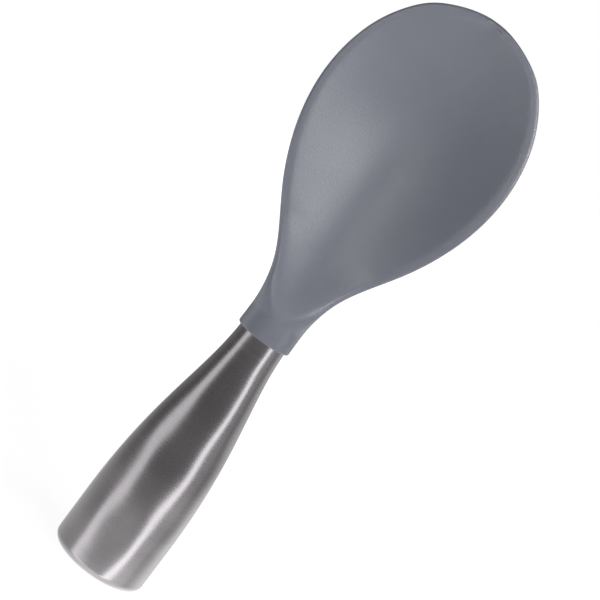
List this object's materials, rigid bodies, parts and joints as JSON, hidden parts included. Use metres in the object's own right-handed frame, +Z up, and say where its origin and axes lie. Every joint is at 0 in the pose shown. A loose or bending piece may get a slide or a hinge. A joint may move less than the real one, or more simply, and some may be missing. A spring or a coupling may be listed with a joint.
{
  "type": "rice paddle",
  "caption": "Rice paddle that stands upright on its base: scooped nylon blade on a hollow, necked steel handle weighted at the foot",
  "frame": {"origin": "centre of the flat base that the paddle stands on", "axes": "+Z up the handle's axis to the tip of the blade, +X to the right across the blade seen from the hollow side, the hollow faces -Y"},
  "size_m": [0.0758, 0.0366, 0.235],
  "materials": {
    "head_nylon": "fine matte grain, grey",
    "handle_steel": "satin, brushed round the handle",
    "rod_steel": "turned, bright",
    "cone_plastic": "moulded, plain",
    "seal_rubber": "plain",
    "ballast_iron": "turned, dull",
    "pad_rubber": "plain, adhesive both sides"
  },
  "bodies": {
    "root": {"paddle_head": "head_nylon", "tang_rod": "rod_steel", "seal_ring": "seal_rubber", "handle_shell": "handle_steel", "clamp_cone": "cone_plastic", "clamp_washer": "rod_steel", "lock_nut": "rod_steel", "ballast_slug": "ballast_iron", "ballast_pad": "pad_rubber", "base_cap": "handle_steel"}
  },
  "joints": []
}
